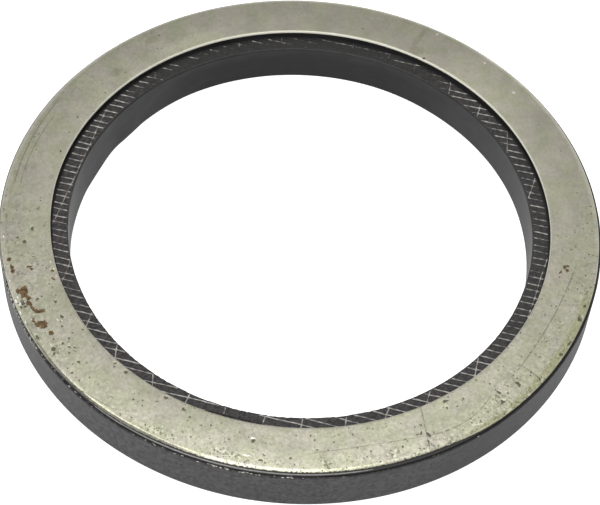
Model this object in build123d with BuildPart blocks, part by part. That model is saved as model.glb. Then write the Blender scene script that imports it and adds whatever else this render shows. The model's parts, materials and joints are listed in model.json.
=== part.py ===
"""Metal cased ring seal: a two-part pressed steel case around a cord-reinforced packing.

The axis is +Z. The origin is the centre of the underside, so the seal rests on z = 0.
Every section is drawn in the XZ plane, as (radius, height), and turned about the axis.
All sizes are in millimetres.
"""
from build123d import *
from math import atan2, cos, degrees, radians, sin, sqrt
import os

# ---- driving dimensions -------------------------------------------------------------

outside_diameter = 180.0
bore_diameter = 139.4
height = 16.0

case_sheet = 0.7  # thin sheet of the outer case
cup_sheet = 1.2  # thicker sheet of the inner case
face_diameter = 178.6  # outside of the inner case, inside of the outer case
window_diameter = 149.4  # opening in both flanges, round the packing
rim_drop = 1.65  # how far the outer case's rim lies below the steel face
recess = 3.0  # how far the cords lie below the steel face

face_corner = 1.6  # radius drawn on the outer corner of the steel face
corner_flats = 3  # flats in that radius; they leave the true arc by 0.06 mm at most
window_bevel = 0.4  # upper edge of the steel face's opening
base_bevel = 0.4  # lower outer edge of the outer case
rim_bevel = 0.3  # outer edge of the outer case's rim
groove_bevel = 0.2  # inner edge of that rim; it leaves a groove beside the inner case
burr_bevel = 0.2  # edges that are only deburred
bore_bevel = 0.3  # lower edge of the bore

undercut = 0.4  # how far the packing's step lies behind the edge of the face
ply_thickness = 0.25  # rubber skin that carries the cords
cord_height = 0.15  # how far a cord stands out of that skin
cord_width = 0.36
cord_margin = 0.15  # bare skin beside the ply's two edges

pair_pitch = 4.86  # from one pair of close cords to the next
pair_gap = 2.2  # between the two cords of a pair
close_angle = -11.3  # direction of the close cords, from +X towards +Y
close_shift = -1.76  # first pair's distance from the centre

# The cross cords lie loosely, so each has a slant of its own. These are the directions,
# in degrees from +X towards +Y, in which a cord meets the step and the bore.
cross_cords = [
    (17.9, 11.5), (33.2, 26.8), (43.4, 40.7), (53.2, 51.0), (63.2, 62.3), (70.3, 70.1),
    (79.8, 79.9), (88.6, 89.5), (97.8, 98.4), (108.4, 109.8), (118.2, 121.5),
    (131.1, 135.6), (203.8, 197.5), (217.2, 213.7), (228.2, 224.7), (239.1, 236.4),
    (247.1, 246.6), (256.0, 255.6), (264.4, 265.0), (272.8, 273.4), (282.2, 283.4),
    (290.8, 293.6), (300.5, 304.3), (313.6, 319.5),
]
passing_cords = [(146.6, 187.4), (333.5, 355.5)]  # two that miss the bore

# ---- sizes that follow --------------------------------------------------------------

outer_radius = outside_diameter / 2
bore_radius = bore_diameter / 2
face_radius = face_diameter / 2
window_radius = window_diameter / 2
pocket_radius = face_radius - cup_sheet  # inside of the inner case's wall
step_radius = window_radius + undercut

rim_height = height - rim_drop
ceiling = height - cup_sheet  # underside of the steel face
skin_top = height - recess - cord_height
seat_height = skin_top - ply_thickness  # where the ply lies on the packing


def corner_points(radius, level, size, flats):
    """Points on an outer corner's arc, from its side up to its top face."""
    angles = [radians(90 * step / flats) for step in range(flats + 1)]
    return [
        (radius - size + size * cos(angle), level - size + size * sin(angle))
        for angle in angles
    ]


def turned_edges(part, radius, level):
    """The circular edges of a turned part at one radius and one height."""
    return part.edges().filter_by(
        lambda e: e.geom_type == GeomType.CIRCLE
        and abs(e.radius - radius) < 1e-4
        and abs(e.center(CenterOf.BOUNDING_BOX).Z - level) < 1e-4
    )


# ---- outer case: wall with a flange turned in at the bottom -------------------------

with BuildPart() as outer_case:
    with BuildSketch(Plane.XZ):
        with BuildLine():
            Polyline(
                (window_radius, 0),
                (outer_radius, 0),
                (outer_radius, rim_height),
                (face_radius, rim_height),
                (face_radius, case_sheet),
                (window_radius, case_sheet),
                close=True,
            )
        make_face()
    revolve(axis=Axis.Z)
    chamfer(turned_edges(outer_case, outer_radius, 0), base_bevel)
    chamfer(turned_edges(outer_case, outer_radius, rim_height), rim_bevel)
    chamfer(turned_edges(outer_case, face_radius, rim_height), groove_bevel)
    chamfer(turned_edges(outer_case, window_radius, 0), burr_bevel)

# ---- inner case: cup pressed in upside down, its flange is the steel face -----------

with BuildPart() as inner_case:
    with BuildSketch(Plane.XZ):
        with BuildLine():
            Polyline(
                (window_radius, ceiling),
                (pocket_radius, ceiling),
                (pocket_radius, case_sheet),
                (face_radius, case_sheet),
                *corner_points(face_radius, height, face_corner, corner_flats),
                (window_radius, height),
                close=True,
            )
        make_face()
    revolve(axis=Axis.Z)
    chamfer(turned_edges(inner_case, window_radius, height), window_bevel)
    chamfer(turned_edges(inner_case, window_radius, ceiling), burr_bevel)

# ---- packing ring: fills the case, steps down inside the face's opening -------------

with BuildPart() as packing_ring:
    with BuildSketch(Plane.XZ):
        with BuildLine():
            Polyline(
                (bore_radius, 0),
                (window_radius, 0),
                (window_radius, case_sheet),
                (pocket_radius, case_sheet),
                (pocket_radius, ceiling),
                (step_radius, ceiling),
                (step_radius, seat_height),
                (bore_radius, seat_height),
                close=True,
            )
        make_face()
    revolve(axis=Axis.Z)
    chamfer(turned_edges(packing_ring, bore_radius, 0), bore_bevel)

# ---- cord ply: a skin with the cut cords of a woven fabric standing out of it --------

cord_outer = step_radius - cord_margin
cord_inner = bore_radius + cord_margin


def cord_offsets(pitch, shift):
    """Distances from the centre at which the cords of one direction cross the ring."""
    count = int(cord_outer // pitch) + 1
    places = [shift + pitch * index for index in range(-count, count + 1)]
    return [place for place in places if abs(place) < cord_outer - cord_width]


def cord_runs(offset):
    """Where a cord at this offset runs over the ring, as (middle, length) pairs.

    A cord that passes the bore is cut into two equal runs, one on each side of it.
    """
    near_side = max(abs(offset) - cord_width / 2, 0)
    far_side = abs(offset) + cord_width / 2
    end = sqrt(cord_outer**2 - far_side**2)
    if near_side >= cord_inner:
        return [(0, 2 * end)]
    start = sqrt(cord_inner**2 - near_side**2)
    middle = (start + end) / 2
    return [(-middle, end - start), (middle, end - start)]


def spot(radius, direction):
    """A point of the ply, by its distance and its direction from the axis."""
    return Vector(radius * cos(radians(direction)), radius * sin(radians(direction)))


close_offsets = cord_offsets(pair_pitch, close_shift)
close_offsets += cord_offsets(pair_pitch, close_shift + pair_gap)

end_outer = cord_outer - cord_width / 2
end_inner = cord_inner + cord_width / 2
cross_ends = [(spot(end_outer, step), spot(end_inner, bore)) for step, bore in cross_cords]
cross_ends += [(spot(end_outer, one), spot(end_outer, two)) for one, two in passing_cords]

with BuildPart() as cord_ply:
    with BuildSketch(Plane.XY.offset(seat_height)):
        Circle(step_radius)
        Circle(bore_radius, mode=Mode.SUBTRACT)
    extrude(amount=ply_thickness)
    with BuildSketch(Plane.XY.offset(skin_top)):
        with Locations(Location((0, 0), close_angle)):
            for offset in close_offsets:
                for middle, length in cord_runs(offset):
                    with Locations((middle, offset)):
                        Rectangle(length, cord_width)
        for start, end in cross_ends:
            run = end - start
            middle = (start + end) / 2
            with Locations(Location((middle.X, middle.Y), degrees(atan2(run.Y, run.X)))):
                Rectangle(run.length, cord_width)
    extrude(amount=cord_height)

# ---- export -------------------------------------------------------------------------

outer_case.part.label = "outer_case"
inner_case.part.label = "inner_case"
packing_ring.part.label = "packing_ring"
cord_ply.part.label = "cord_ply"

os.makedirs("parts", exist_ok=True)
export_step(outer_case.part, "parts/outer_case.step")
export_step(inner_case.part, "parts/inner_case.step")
export_step(packing_ring.part, "parts/packing_ring.step")
export_step(cord_ply.part, "parts/cord_ply.step")
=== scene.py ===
# %% [markdown]
# # Metal cased ring seal
#
# The object is a shaft seal as wide as a saucer. A pressed steel case, open on the
# inside, holds a ring of packing. Where the case's opening shows the packing, a ply of
# rubbered fabric has been cut through, and its pale cords run across the dark skin.
#
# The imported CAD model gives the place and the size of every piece. This script gives
# them their surfaces: each piece is drawn again as one fine surface of revolution, with
# the small faults that a used steel ring has, and gets a material made of nodes.

# %% Load the frame
import json
import math

import bpy
import numpy as np
from mathutils import Matrix, Vector


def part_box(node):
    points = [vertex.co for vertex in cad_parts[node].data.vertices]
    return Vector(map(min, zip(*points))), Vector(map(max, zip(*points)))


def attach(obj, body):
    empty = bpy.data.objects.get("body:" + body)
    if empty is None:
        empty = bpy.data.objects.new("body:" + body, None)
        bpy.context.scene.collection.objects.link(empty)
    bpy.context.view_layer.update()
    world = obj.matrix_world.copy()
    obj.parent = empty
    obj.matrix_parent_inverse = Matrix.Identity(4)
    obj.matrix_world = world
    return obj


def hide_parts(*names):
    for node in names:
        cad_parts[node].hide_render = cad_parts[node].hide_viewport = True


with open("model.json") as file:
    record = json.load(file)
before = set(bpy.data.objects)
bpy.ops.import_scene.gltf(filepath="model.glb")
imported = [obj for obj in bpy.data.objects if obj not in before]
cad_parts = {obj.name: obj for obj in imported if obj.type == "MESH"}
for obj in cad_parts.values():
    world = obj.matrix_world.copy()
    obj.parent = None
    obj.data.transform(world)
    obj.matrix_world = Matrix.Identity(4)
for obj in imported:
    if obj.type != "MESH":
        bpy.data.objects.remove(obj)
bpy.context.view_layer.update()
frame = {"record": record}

# %% [markdown]
# ## Sizes
#
# Every size that another piece depends on is read from the frame, so the looks follow
# the CAD model by themselves. Blender works in metres. A ring this small is easier to
# think about in millimetres, so the shapes are worked out in millimetres and are turned
# into metres when they become meshes.

# %% Sizes from the frame, in millimetres
MM = 0.001


def corners(node):
    """Lowest and highest corner of a CAD node, in millimetres."""
    low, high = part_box(node)
    return low / MM, high / MM


bore_mount = next(m for m in frame["record"]["mounts"] if m["name"] == "shaft_bore")
bore_radius = bore_mount["dims"]["r_mm"]

case_high = corners("outer_case")[1]
cup_low, cup_high = corners("inner_case")
packing_high = corners("packing_ring")[1]
ply_low, ply_high = corners("cord_ply")

outer_radius = case_high.x
rim_height = case_high.z
face_radius = cup_high.x
face_height = cup_high.z
case_sheet = cup_low.z
pocket_radius = packing_high.x
ceiling = packing_high.z
step_radius = ply_high.x
seat_height = ply_low.z
cord_top = ply_high.z

undercut = 0.4  # how far the packing's step lies behind the edge of the face
window_radius = step_radius - undercut
print("outer radius", round(outer_radius, 2), "bore radius", bore_radius)
print("steel face from", round(window_radius, 2), "to", round(face_radius, 2))

# %% [markdown]
# ## A surface of revolution
#
# All four pieces were turned, pressed or moulded round one axis. Blender's Spin tool or
# the Screw modifier could turn a profile, but then every point of a ring is the same all
# the way round. Here a ring is worked out as a grid instead: one direction runs round
# the axis, the other along the section. Each grid point has its own radius and height,
# so dents, pits and a beaten rim are just sums on two arrays.

# %% Section helpers


def round_the_axis(section, turns):
    """A section's angles a = 2 pi k / turns, and every grid point's radius and height."""
    angle = (np.arange(turns) * (2 * np.pi / turns))[:, None]
    return angle, section[None, :, 0] + 0 * angle, section[None, :, 1] + 0 * angle


def straight(start, end, count):
    """Points from start towards end: p = start + t (end - start), the end left out."""
    share = np.arange(count)[:, None] / count
    return np.array(start) + share * (np.array(end) - np.array(start))


def arc(centre, radius, first, last, count):
    """Points on an arc, angles in degrees: p = centre + radius (cos b, sin b)."""
    angle = np.radians(first + (last - first) * np.arange(count) / count)
    return np.array(centre) + radius * np.column_stack([np.cos(angle), np.sin(angle)])


print("a quarter of a circle:", arc((0, 0), 1, 0, 90, 3).round(2).tolist())

# %% Mesh helpers


def new_piece(name, points, faces):
    """A smooth shaded object from points in millimetres and a list of faces."""
    mesh = bpy.data.meshes.new(name)
    mesh.from_pydata((points * MM).tolist(), [], faces)
    mesh.update()
    mesh.shade_smooth()
    piece = bpy.data.objects.new(name, mesh)
    bpy.context.scene.collection.objects.link(piece)
    print(name, "has", sum(len(face) - 2 for face in faces), "triangles")
    return piece


def band_quads(here, there):
    """Quads between two rows of point numbers; each row closes on itself."""
    sides = [here, there, np.roll(there, -1, 1), np.roll(here, -1, 1)]
    return np.stack([side.ravel() for side in sides], axis=1)


def ring_piece(name, angle, radius, height):
    """A closed ring: point (r cos a, r sin a, z), and a grid that wraps both ways.

    The section runs anticlockwise in (radius, height), which makes the faces that go
    round the axis first and along the section second point outwards.
    """
    radius, height = np.broadcast_arrays(radius, height)
    turned = np.broadcast_to(angle, radius.shape)
    points = np.stack([radius * np.cos(turned), radius * np.sin(turned), height], axis=2)
    index = np.arange(radius.size).reshape(radius.shape)
    quads = band_quads(index, np.roll(index, -1, axis=0))
    return new_piece(name, points.reshape(-1, 3), quads.tolist())


def paint(piece, **layers):
    """Stores layers of one number per point, or per section, for a material to read."""
    for name, values in layers.items():
        attribute = piece.data.attributes.new(name, "FLOAT", "POINT")
        repeats = len(attribute.data) // values.size
        numbers = np.repeat(np.ravel(values), repeats).astype(np.float32)
        attribute.data.foreach_set("value", numbers)


# %% [markdown]
# ## Unevenness
#
# Real steel and rubber are never even. Two formulas give all the unevenness here. Waves
# round the ring have a whole number of crests each, so that they close on themselves.
# Waves over the face are plane waves in random directions, which add up to soft,
# directionless hills. Both start from a fixed seed, so every run gives the same ring.

# %% Waves


def waves_round(angle, fewest, most, seed):
    """Sum over n of cos(n a + p) with random p, for n from fewest to most, about +-1."""
    random = np.random.default_rng(seed)
    counts = random.integers(fewest, most + 1, 24)
    phases = random.uniform(0, 2 * np.pi, 24)
    return np.cos(angle[..., None] * counts + phases).sum(-1) / 6


def waves_over(x, y, size, seed):
    """Sum of cos(k . p + phase) over random directions, wavelength about size, +-1."""
    random = np.random.default_rng(seed)
    total = np.zeros(np.broadcast(x, y).shape)
    for turn, phase, stretch in random.uniform(0, 1, (18, 3)):
        pace = 2 * np.pi / (size * (0.6 + stretch))
        along = x * np.cos(2 * np.pi * turn) + y * np.sin(2 * np.pi * turn)
        total += np.cos(pace * along + 2 * np.pi * phase)
    return total / 6


print("waves at six places:", waves_round(np.arange(6.0), 3, 9, 1).round(2).tolist())

# %% Soft edges and marks


def smooth_step(value, low, high):
    """0 below low, 1 above high, and 3 t^2 - 2 t^3 between them."""
    share = np.clip((value - low) / (high - low), 0, 1)
    return share * share * (3 - 2 * share)


def stretch_of_ring(angle, middle, half_width, fade):
    """1 within half_width degrees of the middle direction, fading to 0 over fade."""
    away = np.abs((np.degrees(angle) - middle + 180) % 360 - 180)
    return 1 - smooth_step(away, half_width, half_width + fade)


def marks_on(angle, place, radius, marks):
    """The highest of soft spots: 1.5 - d, where d is the distance in half sizes.

    A mark is (direction in degrees, place, half length along the ring, half width).
    """
    highest = np.zeros(np.broadcast(angle, place).shape)
    for direction, middle, length, width in marks:
        turn = (angle - math.radians(direction) + np.pi) % (2 * np.pi) - np.pi
        distance = np.hypot(turn * radius / length, (place - middle) / width)
        highest = np.maximum(highest, np.clip(1.5 - distance, 0, 1))
    return highest


print("a smooth step:", smooth_step(np.linspace(0, 1, 5), 0, 1).round(2).tolist())

# %% [markdown]
# ## Outer case
#
# The outer case is a ring of thin dark sheet, with a flange turned in at the bottom. Its
# rim ends a little below the steel face, where the inner case was pressed in, and
# leaves a groove there. Years of knocks have beaten that rim: it rises and falls by a
# few hundredths of a millimetre, and small flecks show bright metal. A Bevel modifier
# could round its edges, but the flecks follow the rim, so the edges are arcs of the
# section and everything is worked out on one grid.

# %% Section of the outer case
rim_round = 0.4
groove_round = 0.25
base_round = 0.5
inner_edge = 0.25
band_foot = rim_height - 1.6  # from here up the grid is finer, for the flecks

case_section = np.vstack([
    straight((window_radius + inner_edge, 0), (outer_radius - base_round, 0), 9),
    arc((outer_radius - base_round, base_round), base_round, -90, 0, 5),
    straight((outer_radius, base_round), (outer_radius, band_foot), 9),
    straight((outer_radius, band_foot), (outer_radius, rim_height - rim_round), 10),
    arc((outer_radius - rim_round, rim_height - rim_round), rim_round, 0, 90, 6),
    arc((face_radius + groove_round, rim_height - groove_round), groove_round, 90, 180, 4),
    straight((face_radius, rim_height - groove_round), (face_radius, case_sheet), 3),
    straight((face_radius, case_sheet), (window_radius + inner_edge, case_sheet), 3),
    arc((window_radius + inner_edge, case_sheet - inner_edge), inner_edge, 90, 180, 3),
    arc((window_radius + inner_edge, inner_edge), inner_edge, 180, 270, 3),
])
print("the outer case's section has", len(case_section), "points")

# %% Bright flecks
# A fleck's place is its direction and its climb, measured up the wall and on over the
# rim. Groups of flecks have a middle direction, a spread and a count.
case_angle, case_r, case_z = round_the_axis(case_section, turns=1800)

random = np.random.default_rng(16)
fleck_groups = [(205, 5, 50), (225, 9, 22), (262, 14, 50), (297, 6, 7)]
flecks = [
    (random.normal(middle, spread), rim_height + random.uniform(0.1, 0.7),
     random.uniform(0.1, 0.5), random.uniform(0.07, 0.2))
    for middle, spread, count in fleck_groups
    for _ in range(count)
]
climb = np.where(case_z > rim_height / 2, case_z + outer_radius - case_r, 0.0)
bright_flecks = marks_on(case_angle, climb, outer_radius, flecks)
print(len(flecks), "bright flecks")

# %% Beaten rim
rim_share = smooth_step(case_z, rim_height - 1.0, rim_height)
slow_waves = 0.02 * waves_round(case_angle, 3, 14, 11)
quick_waves = 0.015 * waves_round(case_angle, 30, 90, 12)
mean_dip, deepest_dip, fleck_depth = 0.03, 0.1, 0.05
sunk_rim = np.clip(mean_dip + slow_waves + quick_waves, 0, deepest_dip)
case_z = case_z - rim_share * sunk_rim - fleck_depth * rim_share * bright_flecks

wall_share = smooth_step(case_z, 0.6, 2) * smooth_step(case_r, outer_radius - 0.1, outer_radius)
wall_waves = np.clip(0.5 + waves_round(case_angle, 20, 60, 15), 0, 1)
wall_ripple = 0.02
case_r = case_r - wall_ripple * wall_share * wall_waves
print("the rim dips by up to", round(float(sunk_rim.max()), 3), "mm")

# %% The outer case as one mesh
outer_case = ring_piece("outer_case_sheet", case_angle, case_r, case_z)
under_rim = smooth_step(climb, rim_height - 1.4, rim_height - 0.9)
over_rim = smooth_step(climb, rim_height + 0.2, rim_height + 0.3)
paint(
    outer_case,
    flecks=bright_flecks,
    # beaten metal under the rim on the left, partly a painted sheen of the grazing wall
    battered=stretch_of_ring(case_angle, 205, 9, 5) * under_rim,
    # on this stretch the painted shade in the rim's groove reaches further out
    sooty=stretch_of_ring(case_angle, 297, 16, 10),
    shaded=stretch_of_ring(case_angle, 340, 32, 18),
    bare=stretch_of_ring(case_angle, 165, 28, 6) * over_rim,
)
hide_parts("outer_case")
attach(outer_case, "root")

# %% [markdown]
# ## Inner case and its steel face
#
# The inner case is a cup pressed upside down into the outer one, and its flange is the
# pale steel face that one sees first. Most of the grid's lines are spent on that face,
# so that pits, rust patches and a dent can be real hollows. Each kind of mark is a short
# list, and random waves break up its outline.

# %% Section of the inner case
face_corner = 1.6
corner_start = face_radius - face_corner
corner_foot = face_height - face_corner
hole_round = 0.28  # the upper edge of the flange's hole
hole_burr = 0.25  # and its lower edge
cup_wall = 1.2

cup_section = np.vstack([
    straight((face_radius - cup_wall, case_sheet), (face_radius, case_sheet), 1),
    straight((face_radius, case_sheet), (face_radius, corner_foot), 5),
    arc((corner_start, corner_foot), face_corner, 0, 90, 14),
    straight((corner_start, face_height), (window_radius + hole_round, face_height), 42),
    arc((window_radius + hole_round, face_height - hole_round), hole_round, 90, 180, 5),
    straight((window_radius, face_height - hole_round), (window_radius, ceiling + hole_burr), 3),
    arc((window_radius + hole_burr, ceiling + hole_burr), hole_burr, 180, 270, 2),
    straight((window_radius + hole_burr, ceiling), (pocket_radius, ceiling), 2),
    straight((pocket_radius, ceiling), (pocket_radius, case_sheet), 1),
])
print("the inner case's section has", len(cup_section), "points")

# %% Marks on the steel face: direction, radius, half length, half width
rust_marks = [
    (196, 87.6, 0.7, 0.5), (198, 87.2, 0.8, 0.5), (199, 87.2, 0.8, 0.5),
    (204.6, 86, 1.8, 1.3), (203.9, 87.3, 0.9, 0.7), (203.6, 85.2, 0.8, 0.6),
    (206, 85.2, 1.0, 0.8), (207.4, 85.5, 1.0, 0.6), (208.6, 85.4, 1.0, 0.5),
    (209.6, 84.7, 0.8, 0.9), (210, 83.5, 0.6, 0.9), (212.6, 85.9, 1.0, 1.2),
    (211.4, 86.7, 0.8, 0.5), (213.2, 84.8, 1.4, 1.2), (215.6, 84.2, 0.8, 0.7),
    (198.8, 82.4, 0.5, 0.6), (199.6, 81.7, 0.4, 0.5), (201, 76, 0.6, 0.5),
    (203, 76.6, 0.8, 0.4), (350.2, 79.6, 0.8, 0.6), (349.4, 80.5, 0.6, 0.5),
    (348.6, 78.6, 0.6, 0.5),
]
pit_marks = [
    (215, 88.3, 0.8, 0.4), (229.5, 75.8, 0.5, 0.4), (232.7, 75.9, 0.6, 0.4),
    (229.5, 89, 0.5, 0.5), (304.6, 76.4, 0.9, 0.4), (303.9, 78.4, 0.5, 0.3),
    (295.7, 82.5, 0.6, 0.3), (297.2, 80.3, 0.5, 0.2), (219, 86.3, 0.7, 0.6),
    (219.8, 87, 0.4, 0.5), (218.9, 83.4, 0.4, 0.3), (220.3, 82.4, 0.4, 0.25),
    (218.7, 80.9, 0.3, 0.3), (221, 81.1, 0.3, 0.2), (225.3, 81.6, 0.35, 0.3),
    (293.5, 83.5, 0.5, 0.2), (297.6, 83.6, 0.25, 0.8), (297.1, 85.8, 0.25, 0.9),
    (342.2, 88.1, 0.6, 0.4), (338.9, 88, 0.9, 0.5), (332.9, 88.6, 1.0, 0.3),
    (329.7, 88.3, 0.8, 0.4), (322.8, 88.1, 0.5, 0.4), (315, 78.3, 0.3, 0.2),
    (329.9, 82, 0.4, 0.2), (330.9, 82.9, 0.3, 0.25), (336.6, 78.6, 0.5, 0.2),
    (308.1, 78.5, 0.3, 0.25), (207.3, 86.3, 0.5, 0.3), (191, 84.5, 0.4, 0.3),
    (192.2, 82.5, 0.7, 0.4), (195.4, 83.8, 0.4, 0.3), (196.4, 80.3, 0.3, 0.3),
    (189, 80, 0.7, 0.4), (187.5, 76, 0.4, 0.3), (207, 82.8, 0.5, 0.35),
    (209, 78.5, 0.35, 0.25), (213, 79, 0.7, 0.4), (215.4, 80.4, 0.4, 0.35),
    (224.4, 83.3, 0.7, 0.3), (225.4, 86.8, 0.4, 0.3), (234.5, 84.2, 0.35, 0.25),
    (243.4, 76, 0.6, 0.35), (248, 77, 0.6, 0.4), (249.8, 78.3, 0.35, 0.35),
    (252.8, 79.7, 0.35, 0.25), (263.6, 80.4, 0.6, 0.45), (267.4, 80.4, 0.5, 0.2),
    (266, 84.3, 0.45, 0.35), (265.6, 86, 0.5, 0.45), (245, 87.2, 0.3, 0.3),
    (319, 84.8, 0.6, 1.0), (314.8, 83, 0.45, 0.9), (313.8, 86, 0.8, 0.5),
    (319.8, 82, 0.35, 0.3), (321, 81.4, 0.35, 0.25), (322.6, 81, 0.3, 0.25),
    (322.7, 85, 0.35, 0.25), (296.5, 82.5, 0.4, 0.4), (297.8, 84.3, 0.3, 0.5),
    (292, 84.8, 0.3, 0.3), (286, 84, 0.35, 0.3), (276, 82, 0.3, 0.25), (271, 84.6, 0.4, 0.35),
    (350.6, 80.3, 0.6, 0.4), (61.6, 75.2, 0.5, 0.6), (207.8, 87, 0.6, 0.4),
    (207.6, 88.2, 0.6, 0.4), (21.5, 84.6, 0.4, 0.3), (78.5, 79.2, 0.4, 0.3),
    (156, 78, 0.5, 0.3), (166.6, 76.6, 0.45, 0.35), (183.6, 78.5, 0.4, 0.25),
]
dent_marks = [(206.6, 87.3, 1.1, 0.8)]
# The light marks round the dent, near 206 degrees, are painted highlights on its rim.
light_marks = [
    (205.2, 88.0, 0.5, 0.25), (207.0, 88.2, 0.5, 0.2), (206.6, 86.6, 0.3, 0.2),
    (190.5, 88.4, 0.4, 0.3), (213.4, 80.6, 0.4, 0.25), (214.0, 79.6, 0.3, 0.2),
    (40, 84, 0.5, 0.5), (62.7, 86.8, 0.5, 0.35), (50, 86, 0.5, 0.4), (263, 85.2, 1.6, 0.2),
    (263.4, 79.6, 0.7, 0.3), (201, 88.6, 0.6, 0.2), (205.9, 88.9, 0.7, 0.25),
    (208.6, 89, 0.8, 0.2), (211, 88.9, 0.6, 0.2), (206.7, 88, 0.5, 0.3),
    (198.5, 76, 0.4, 0.2), (200.6, 75.7, 0.4, 0.2), (202.6, 75.5, 0.4, 0.2),
]
stain_marks = [
    (65.5, 80, 0.9, 6), (64, 77, 2, 2), (219.2, 86, 1.4, 1.0), (217.5, 84.6, 0.8, 1.2),
    (183.9, 78.4, 1.0, 0.9), (183.9, 82.3, 1.0, 0.9), (182.9, 84.5, 1.1, 0.9),
    (172.4, 82.5, 1.2, 1.0), (173, 85, 1.2, 1.0), (174.3, 76.2, 1.0, 0.8),
    (140, 80, 2.0, 1.6), (128, 84, 2.2, 1.4),
]
yellow_marks = [
    (313.4, 83.3, 0.8, 0.7), (245, 86.6, 8, 0.7), (262, 86.2, 9, 0.9),
    (229.5, 75.8, 1.0, 0.6), (200.4, 76, 1.6, 0.6),
]
crowded_marks = [
    (289, 86.3, 7, 1.2), (281, 84.5, 5, 1.5), (295, 87, 4, 1), (262, 86, 7, 1),
    (266, 79.5, 4, 3), (256, 79.5, 3, 2.5), (335, 88.2, 9, 0.9), (331, 83.5, 4, 3),
    (318, 82.5, 6, 3), (304, 87.6, 8, 1), (220, 82.5, 3, 2.5), (200, 79.5, 7, 4),
    (285, 77, 9, 1.5), (313, 84, 3, 2),
]
lighter_marks = [(45, 82, 14, 8), (121, 77.5, 9, 2), (295, 77, 38, 2.4)]
print(len(rust_marks), "rust marks and", len(pit_marks), "pits placed by hand")

# %% The steel face as a grid
cup_angle, cup_r, cup_z = round_the_axis(cup_section, turns=1320)

# A sharper corner on one stretch: with the radius less by k, an arc point moves outwards
# by k (1 - cos b) and up by k (1 - sin b), and the points before and after it follow.
sharper = stretch_of_ring(cup_angle, 208, 20, 24)
cos_b = np.clip((cup_r - corner_start) / face_corner, 0, 1)
sin_b = np.clip((cup_z - corner_foot) / face_corner, 0, 1)
share_of_face = np.clip((cup_r - window_radius) / (corner_start - window_radius), 0, 1) ** 2
share_of_wall = np.clip((cup_z - case_sheet) / (corner_foot - case_sheet), 0, 1) ** 2
outermost = cup_r > corner_start
cup_r = cup_r + sharper * (1 - cos_b) * np.where(cup_z > corner_foot, share_of_face, 0)
cup_z = cup_z + sharper * (1 - sin_b) * np.where(outermost, share_of_wall, 0)
cup_x = cup_r * np.cos(cup_angle)
cup_y = cup_r * np.sin(cup_angle)
print("the corner's radius shrinks to", round(face_corner - float(sharper.max()), 2), "mm")

# %% Masks of the marks
# Marks are read at places that wander a little, by radians and millimetres, which makes
# their outlines ragged.
angle_wander, radius_wander = 0.0035, 0.28
ragged_angle = cup_angle + angle_wander * waves_over(cup_x, cup_y, 1.6, 21)
ragged_r = cup_r + radius_wander * waves_over(cup_x, cup_y, 1.6, 22)
rust, pits, stain, yellow, crowded, rubbed = (
    marks_on(ragged_angle, ragged_r, cup_r, marks)
    for marks in (rust_marks, pit_marks, stain_marks, yellow_marks, crowded_marks, lighter_marks)
)
dent, light = (marks_on(cup_angle, cup_r, cup_r, marks) for marks in (dent_marks, light_marks))
print("rust covers", round(100 * float((rust > 0.5).mean()), 2), "% of the grid's points")

# %% Masks of whole stretches
# The near half is speckled, and a crust follows part of the outer edge. Other stretches
# get painted shade, a thin painted highlight line runs along part of the corner, and part
# of the corner is polished.
crusted = stretch_of_ring(cup_angle, 308, 22, 18) * smooth_step(cup_r, 87.2, 88.7)
wide_crust = stretch_of_ring(cup_angle, 332, 10, 10) * smooth_step(cup_r, 86.2, 87.8)
yellow = np.maximum(yellow, np.maximum(crusted, 0.85 * wide_crust))
speckled = stretch_of_ring(cup_angle, 268, 60, 60) * (0.6 + 0.4 * smooth_step(cup_r, 81, 87))
speckled = np.maximum(speckled, 0.24 * stretch_of_ring(cup_angle, 185, 30, 50))
speckled = speckled + 0.35 * np.clip(crowded, 0, 1) + 0.4 * yellow

# Painted shade: the far stretch inside the face, a stretch on the near left and the left of the
# corner are made darker.
shaded = stretch_of_ring(cup_angle, 82, 12, 16) * smooth_step(-cup_r, -87, -80)
shaded = shaded + 0.35 * stretch_of_ring(cup_angle, 228, 14, 12)
shaded = shaded + 2.2 * stretch_of_ring(cup_angle, 152, 34, 14) * smooth_step(cup_r, 86.8, 88.2)

# A thin painted highlight line across the dark band on the corner's steep part.
line_height = rim_height + 0.75
line_width = 0.22
worn_line = np.exp(-((cup_z - line_height) / line_width) ** 2)
worn_line = worn_line * stretch_of_ring(cup_angle, 252, 30, 8)
polished = stretch_of_ring(cup_angle, 258, 40, 12)
shiny_radius = corner_start + 0.2
print("the polish starts at a radius of", round(shiny_radius, 2), "mm")

# %% Hollows of the face
top_share = smooth_step(cup_z, face_height - 0.9, face_height - 0.1)
crown_drop, crown_middle, crown_reach = 0.16, 81.5, 6.5
crown = crown_drop * ((cup_r - crown_middle) / crown_reach) ** 2
hills = 0.02 + 0.014 * waves_over(cup_x, cup_y, 26, 23) + 0.006 * waves_over(cup_x, cup_y, 7, 24)
pit_depth, rust_depth, dent_depth = 0.05, 0.02, 0.15
eaten = pit_depth * pits + rust_depth * rust + dent_depth * dent * dent
cup_z = cup_z - top_share * (crown + np.clip(hills, 0, 0.1) + eaten)
print("the deepest mark goes", round(float(eaten.max()), 3), "mm into the face")

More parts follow.
